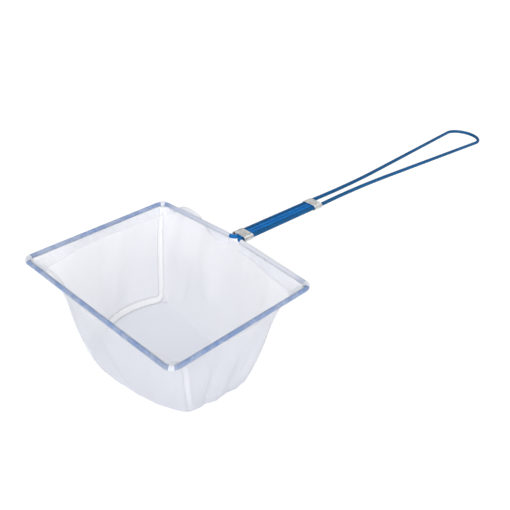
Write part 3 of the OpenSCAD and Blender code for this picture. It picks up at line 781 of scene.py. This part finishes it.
def fold_over(wall, first, last, radius, leg, pucker=0.0):
    """Grid of a fold of cloth round the wire: rows along the wall, columns up the outside, over the
    wire and down the inside."""
    mouth, facing = OUTLINES[wall][0]
    turn = hem_turn(wall, along_side(mouth))
    rows = len(HEM_ROWS)
    grid = []
    for i in range(first, last + 1):
        outer = [walls[wall][r, i] + normals[wall][r, i] * leg for r in range(rows - 1, -1, -1)]
        inner = [walls[wall][r, i] - normals[wall][r, i] * leg for r in range(rows)]
        arc = []
        for k in range(FOLD_STEPS + 1):
            a = math.radians(FOLD_START + FOLD_SWEEP * k / FOLD_STEPS) + turn[i]
            reach = radius + pucker * noise.noise(Vector((*mouth[i] * PUCKER_FREQUENCY, a)))
            out = facing[i] * reach * math.cos(a)
            arc.append(np.array((mouth[i, 0] + out[0], mouth[i, 1] + out[1], RIM_Z + reach * math.sin(a))))
        if pucker:
            for line, way in ((outer, 1), (inner[::-1], -1)):
                for r, p in enumerate(line[:PUCKERED_ROWS]):
                    wave = abs(noise.noise(Vector((*p[:2] * EDGE_FREQUENCY, 3.0 + way))))
                    depth = way * wave * EDGE_PUCKER * (1 - r / PUCKERED_ROWS)
                    p += normals[wall][rows - 1 - r, i] * depth
        grid.append(np.array(outer + arc + inner))
    return np.array(grid)


def last_column(wall):
    return walls[wall].shape[1] - 1


def hem(name, wall, first, last, material, node):
    """One stretch of the panels' upper edge, folded over the wire."""
    grid = fold_over(wall, first, last, SLEEVE_RADIUS, HEM_LEG, HEM_PUCKER)
    return made(name, [(grid, False, surface_map(grid)[::-1])], material, node)


# Each hem's wall, first and last column, and cloth. On the handle side they stop at the tails
back_y = OUTLINES["back"][0][0][:, 1]
back_left_end = max(i for i, y in enumerate(back_y) if y <= -HEM_END)
back_right_start = min(i for i, y in enumerate(back_y) if y >= HEM_END)
HEM_STRETCHES = {
    **{wall: (wall, 1, last_column(wall) - 1, HEM_CLOTH) for wall in ("front", "left", "right")},
    "back_left": ("back", 1, back_left_end, NEAR_HEM_CLOTH),
    "back_right": ("back", back_right_start, last_column("back") - 1, FAR_HEM_CLOTH),
}
hems = {name: hem(f"{name}_hem_cloth", *stretch, f"{name}_hem") for name, stretch in HEM_STRETCHES.items()}

# ---- Seams -----------------------------------------------------------------------------------
# Overlocked seams join each gusset to the strip: down one corner, along the foot and up the other
# corner. At the rim each corner's many layers wrap the wire as a dense white band.
SEAM_WIDTH = 4.2
SEAM_THICKNESS = 0.36
SEAM_LIFT = 0.12
SEAM_LEAN = 2.2
SEAM_BEND = 4.0
SEAM_STEP = 1.2
SEAM_TOP = 4.5
SEAM_INSET = 0.05
SEAM_BEND_STATIONS = 7
# A seam's share of its full width at the rim, and the depth over which it gains a whole width
NARROW_SHARE, NARROW_LENGTH = 0.3, 26
SEAM_UNEVENNESS, UNEVEN_FREQUENCY = 0.09, 0.21
SEAM_SECTION = [(-1, 0.0), (-0.8, 0.4), (-0.45, 0.85), (0, 1.0), (0.45, 0.85), (0.8, 0.4), (1, 0.0),
                (0.5, -0.04), (0, -0.04), (-0.5, -0.04)]
# Seam thread tints for where it lies low and for the loop tops: the darker one is painted shade in the
# grooves
SEAM_SHADED_AND_LIT_TINTS = ((0.975, 0.977, 0.985), (0.985, 0.985, 0.99))
SEAM_OPACITY = (0.68, 0.82)
SEAM_GLOW = 0.3
OVERLOCK_PITCH = 1.5
OVERLOCK_SLANT = 900.0
OVERLOCK_RELIEF = (-0.7, 1.4)
OVERLOCK_THREAD = 0.08
OVERLOCK_REACH = 0.92
OVERLOCK_SINK = 0.55
WRAP_TINT, WRAP_OPACITY, WRAP_GLOW = (0.95, 0.962, 0.99), (0.9, 0.97), 0.35
WRAP_EXTRA = 0.28, 0.3


def seam_thread_material():
    """Overlock thread laid slantwise across the band, with fuzz, and a little open between."""
    material, tree, bsdf = shader("seam_overlock")
    split = put(tree, "SeparateXYZ", {0: put(tree, "UVMap", uv_map="cloth").outputs["UV"]}).outputs
    wave = result_of(tree, "MULTIPLY", split["X"], 2 * math.pi / (OVERLOCK_PITCH * MM))
    loops = result_of(tree, "SINE", result_of(tree, "MULTIPLY_ADD", split["Y"], OVERLOCK_SLANT, wave))
    height = result_of(tree, "ADD", loops, noise_over(tree, object_place(tree), 1800.0, 3.0))
    # Painted shade: the thread is darker where it lies low between the loops and lighter on their tops, with
    # random fuzz on top
    low, high = SEAM_SHADED_AND_LIT_TINTS
    colour = ramp(tree, spread(tree, height, *OVERLOCK_RELIEF, 0.0, 1.0), (0.0, low), (0.8, high))
    tree.links.new(colour, bsdf.inputs["Base Color"])
    bsdf.inputs["Roughness"].default_value = 0.8
    bsdf.inputs["Sheen Weight"].default_value = 0.2
    bumped(tree, bsdf, height, 0.06, 0.4)
    solid = spread(tree, height, *OVERLOCK_RELIEF, *SEAM_OPACITY)
    finished(tree, see_through(tree, bsdf, colour, SEAM_GLOW, solid))
    return material


SEAM_MATERIAL = seam_thread_material()


def on_wall(wall, a, b, from_end=False):
    """Point and outward normal of a gusset at a distance a from its corner and b up from its foot."""
    grid, normal = walls[wall], normals[wall]
    row = np.interp(BAG_DEPTH - b, depths, np.arange(len(depths)))
    r0 = min(int(row), len(depths) - 2)
    f = row - r0
    line = grid[r0] * (1 - f) + grid[r0 + 1] * f
    ways = normal[r0] * (1 - f) + normal[r0 + 1] * f
    if from_end:
        line, ways = line[::-1], ways[::-1]
    s = lengths_along(line)
    p = np.array([np.interp(a, s, line[:, k]) for k in range(3)])
    n = np.array([np.interp(a, s, ways[:, k]) for k in range(3)])
    return p, n / np.linalg.norm(n)


def taper(b):
    """Share of its full width that a seam has at a height above its foot: it narrows up to the rim."""
    return min(1, NARROW_SHARE + (BAG_DEPTH - b) / NARROW_LENGTH)


def seam_path(wall):
    """Stations (side, a, b, inward a, inward b) down a corner, along the foot and up the other."""
    middle, bend_end = SEAM_WIDTH / 2, SEAM_WIDTH / 2 + SEAM_BEND
    foot = lengths_along(walls[wall][-1])[-1]
    half = [(middle * taper(b), b, 1, 0) for b in np.arange(BAG_DEPTH - SEAM_TOP, bend_end, -SEAM_STEP)]
    for angle in np.linspace(0, 90, SEAM_BEND_STATIONS):
        c, s = cos_of(angle), sin_of(angle)
        half.append((middle + SEAM_BEND * (1 - c), middle + SEAM_BEND * (1 - s), c, s))
    half += [(a, middle, 0, 1) for a in np.arange(bend_end + SEAM_STEP, foot / 2, SEAM_STEP)]
    return [(False, *station) for station in half] + [(True, *station) for station in half[::-1]]


def on_seam(wall, station, across, width, lift):
    """A point of a seam: how far across its band, from -1 to 1, and how far it stands off the wall."""
    far, a, b, inward_a, inward_b = station
    a, b = max(SEAM_INSET, a + inward_a * across * width), max(SEAM_INSET, b + inward_b * across * width)
    p, n = on_wall(wall, a, b, far)
    return p - n * (lift + inward_b * SEAM_LEAN * (1 - across) / 2)


def seam_band(wall):
    """Grid of the seam's raised band, rows along it and columns round its section."""
    grid = []
    for k, station in enumerate(seam_path(wall)):
        uneven = 1 + SEAM_UNEVENNESS * noise.noise(Vector((k * UNEVEN_FREQUENCY, 0, 5)))
        width = SEAM_WIDTH / 2 * taper(station[2]) * uneven
        grid.append([on_seam(wall, station, across, width, SEAM_LIFT + up * SEAM_THICKNESS)
                     for across, up in SEAM_SECTION])
    return np.array(grid)


def overlock_loops(wall):
    """The thread loops laid across the band, as one fine line that runs to and fro."""
    path = seam_path(wall)
    points = []
    for k in range(len(path) - 1):
        if path[k][0] != path[k + 1][0]:
            continue
        for f in (0, 0.25, 0.5, 0.75):
            station = (path[k][0], *(path[k][m] * (1 - f) + path[k + 1][m] * f for m in range(1, 5)))
            swing = math.sin(2 * math.pi * (k + f) * SEAM_STEP / OVERLOCK_PITCH)
            lift = OVERLOCK_THREAD + SEAM_THICKNESS * (1 - OVERLOCK_SINK * swing ** 2)
            width = SEAM_WIDTH / 2 * taper(station[2])
            points.append(on_seam(wall, station, OVERLOCK_REACH * swing, width, lift))
    return np.array(points)


def thread_tube(points, radius, sides=5):
    """Grid of a fine round thread along a line of points."""
    tangent = np.gradient(points, axis=0)
    tangent /= np.linalg.norm(tangent, axis=1, keepdims=True) + 1e-9
    side = np.cross(tangent, np.array((0.3, 0.2, 0.93)))
    side /= np.linalg.norm(side, axis=1, keepdims=True) + 1e-9
    top = np.cross(side, tangent)
    return rings_round(points, side, top, radius, sides)


def seam(name, wall, node):
    """A gusset's raised band, with the overlock's thread on it."""
    grids = []
    for grid in (seam_band(wall), thread_tube(overlock_loops(wall), OVERLOCK_THREAD)):
        along = lengths_along(grid[:, 0])[:, None]
        grids.append((grid, True, (along, np.linspace(0, 2 * SEAM_WIDTH, grid.shape[1]))))
    return made(name, grids, SEAM_MATERIAL, node)


# How many stations each half of a corner's wrap covers, at a wall's first corner and at its second
WRAP_REACH = {"right": (3, 3), "front": (5, 2), "left": (2, 3), "back": (4, 3)}


def wrap(wall, far):
    """Half of a corner's white band, from the corner's middle outwards."""
    n, reach = last_column(wall), WRAP_REACH[wall][far]
    first, last = (n - reach, n) if far else (0, reach)
    wider, thicker = WRAP_EXTRA
    return fold_over(wall, first, last, SLEEVE_RADIUS + wider, HEM_LEG + thicker)


def corner_wraps(name, wall, before, after, node):
    """The dense white cloth over the wire at a gusset's two upper corners."""
    grids = []
    for end, start in ((wrap(before, True), wrap(wall, False)), (wrap(wall, True), wrap(after, False))):
        whole = np.vstack([end, start[1:]])
        grids.append((whole, False, surface_map(whole)[::-1]))
    return made(name, grids, WRAP_CLOTH, node)


WRAP_CLOTH = cloth("corner_wrap_cloth", WRAP_TINT, WRAP_OPACITY, HEM_PITCH, WRAP_GLOW)
seams = {wall: seam(f"{wall}_seam_overlock", wall, f"{wall}_seam") for wall in ("left", "right")}
wraps = {wall: corner_wraps(f"{wall}_seam_corner_wraps", wall, before, after, f"{wall}_seam")
         for wall, before, after in (("left", "front", "back"), ("right", "back", "front"))}

# ---- Hem threads -----------------------------------------------------------------------------
# A lockstitch closes each hem just above its lower edge. It shows as a row of short stitches on
# both faces, and dips into the cloth between them.
STITCH_LENGTH = 2.6
STITCH_STEP = 0.36
STITCH_LIFT = 0.22
STITCH_RADIUS = 0.1
STITCH_SIDES = 6
# A stitch's rise above the cloth and its dip between two stitches, as shares of its lift
STITCH_RISE, STITCH_DIP = 1.5, 0.3
THREAD_TINTS = ((0.92, 0.925, 0.94), (0.97, 0.97, 0.975))
THREAD_GLOW = 0.3
THREAD_COVER = 0.55
THREAD_INSET = 2


def thread_material():
    """Fine twisted thread, so thin that the mesh shows through its haze."""
    material, tree, bsdf = shader("sewing_thread")
    twist = noise_over(tree, object_place(tree), 2600.0, 2.0)
    low, high = THREAD_TINTS
    colour = ramp(tree, twist, (0.3, low), (0.7, high))
    tree.links.new(colour, bsdf.inputs["Base Color"])
    bsdf.inputs["Roughness"].default_value = 0.6
    bumped(tree, bsdf, twist, 0.04, 0.5)
    finished(tree, see_through(tree, bsdf, colour, THREAD_GLOW, THREAD_COVER))
    return material


THREAD = thread_material()


def stitches(wall, first, last, face):
    """The line of one face's stitches."""
    row = HEM_ROWS.index(STITCH_ROW)
    line, ways = walls[wall][row, first:last + 1], normals[wall][row, first:last + 1]
    s = lengths_along(line)
    at = np.arange(0, s[-1], STITCH_STEP)
    p, n = (np.stack([np.interp(at, s, values[:, k]) for k in range(3)], 1) for values in (line, ways))
    rise = np.minimum(STITCH_RISE * np.abs(np.sin(np.pi * at / STITCH_LENGTH)) - STITCH_DIP, 1)
    return p + face * n * (HEM_LEG + STITCH_LIFT * rise)[:, None]


def hem_thread(name, wall, first, last, node):
    """A hem's rows of stitches, on its outside and on its inside."""
    grids = []
    for face in (1, -1):
        tube = thread_tube(stitches(wall, first, last, face), STITCH_RADIUS, STITCH_SIDES)
        around = np.linspace(0, 8 * STITCH_RADIUS, STITCH_SIDES)
        grids.append((tube, True, (lengths_along(tube[:, 0])[:, None], around)))
    return made(name, grids, THREAD, node)


threads = {name: hem_thread(f"{name}_hem_stitching", wall, max(first, THREAD_INSET),
                            min(last, last_column(wall) - THREAD_INSET), f"{name}_hem_thread")
           for name, (wall, first, last, _) in HEM_STRETCHES.items()}

# ---- Light and floor -------------------------------------------------------------------------
# A plain pale floor under soft, even studio light. Seen directly the studio is white. Glossy
# pieces mirror a bright panel overhead and dim walls.
STUDIO_LIGHT, STUDIO_WHITE = 0.6, 1.0
DIM_WALLS, BRIGHT_PANEL = 0.2, 1.5
PANEL_EDGE = (0.55, 0.8)
FLOOR_REACH = 4
FLOOR_GAP = 0.0004
FLOOR_GREY = 0.9
FLOOR_GLOW = 0.15
WHITE = (1, 1, 1, 1)

scene.view_settings.view_transform = "Standard"
world = bpy.data.worlds.new("studio")
scene.world = world
world.use_nodes = True
sky = world.node_tree
ray = put(sky, "LightPath").outputs
sky_height = put(sky, "SeparateXYZ", {0: put(sky, "TexCoord").outputs["Generated"]}).outputs["Z"]
panel_light = spread(sky, sky_height, *PANEL_EDGE, DIM_WALLS, BRIGHT_PANEL)
plain_light = spread(sky, ray["Is Camera Ray"], 0.0, 1.0, STUDIO_LIGHT, STUDIO_WHITE)
studio = put(sky, "Mix", {"Factor": ray["Is Glossy Ray"], "A": plain_light, "B": panel_light}).outputs[0]
sky.links.new(studio, sky.nodes["Background"].inputs["Strength"])
sky.nodes["Background"].inputs["Color"].default_value = WHITE


def lamp(name, way, softness, strength):
    """A broad, far light that shines along way."""
    light = bpy.data.lights.new(name, "SUN")
    light.angle = math.radians(softness)
    light.energy = strength
    holder = bpy.data.objects.new(name, light)
    holder.rotation_mode = "QUATERNION"
    holder.rotation_quaternion = Vector(way).to_track_quat("-Z", "Y")
    scene.collection.objects.link(holder)


lamp("key", (0.5, 0.52, -0.78), 35, 0.9)
lamp("front", (0.55, 0.6, -0.35), 45, 1.4)
lamp("back", (-0.7, 0.1, -0.9), 60, 0.3)


def floor_material():
    """Matt pale floor that looks white from the camera and in the gloss, and keeps its shadows."""
    material, tree, bsdf = shader("floor")
    bsdf.inputs["Base Color"].default_value = (*grey(FLOOR_GREY), 1)
    bsdf.inputs["Roughness"].default_value = 0.9
    bsdf.inputs["Specular IOR Level"].default_value = 0.0
    ray = put(tree, "LightPath").outputs
    seen = result_of(tree, "MAXIMUM", ray["Is Camera Ray"], ray["Is Glossy Ray"])
    seen = result_of(tree, "MAXIMUM", seen, ray["Is Transmission Ray"])
    tree.links.new(result_of(tree, "MULTIPLY", seen, FLOOR_GLOW), bsdf.inputs["Emission Strength"])
    bsdf.inputs["Emission Color"].default_value = WHITE
    return material


floor_mesh = bpy.data.meshes.new("floor")
floor_corners = [(-1, -1), (1, -1), (1, 1), (-1, 1)]
floor_mesh.from_pydata([(x * FLOOR_REACH, y * FLOOR_REACH, 0) for x, y in floor_corners], [], [(0, 1, 2, 3)])
floor_mesh.materials.append(floor_material())
floor = bpy.data.objects.new("floor", floor_mesh)
floor.location.z = -FLOOR_GAP
scene.collection.objects.link(floor)
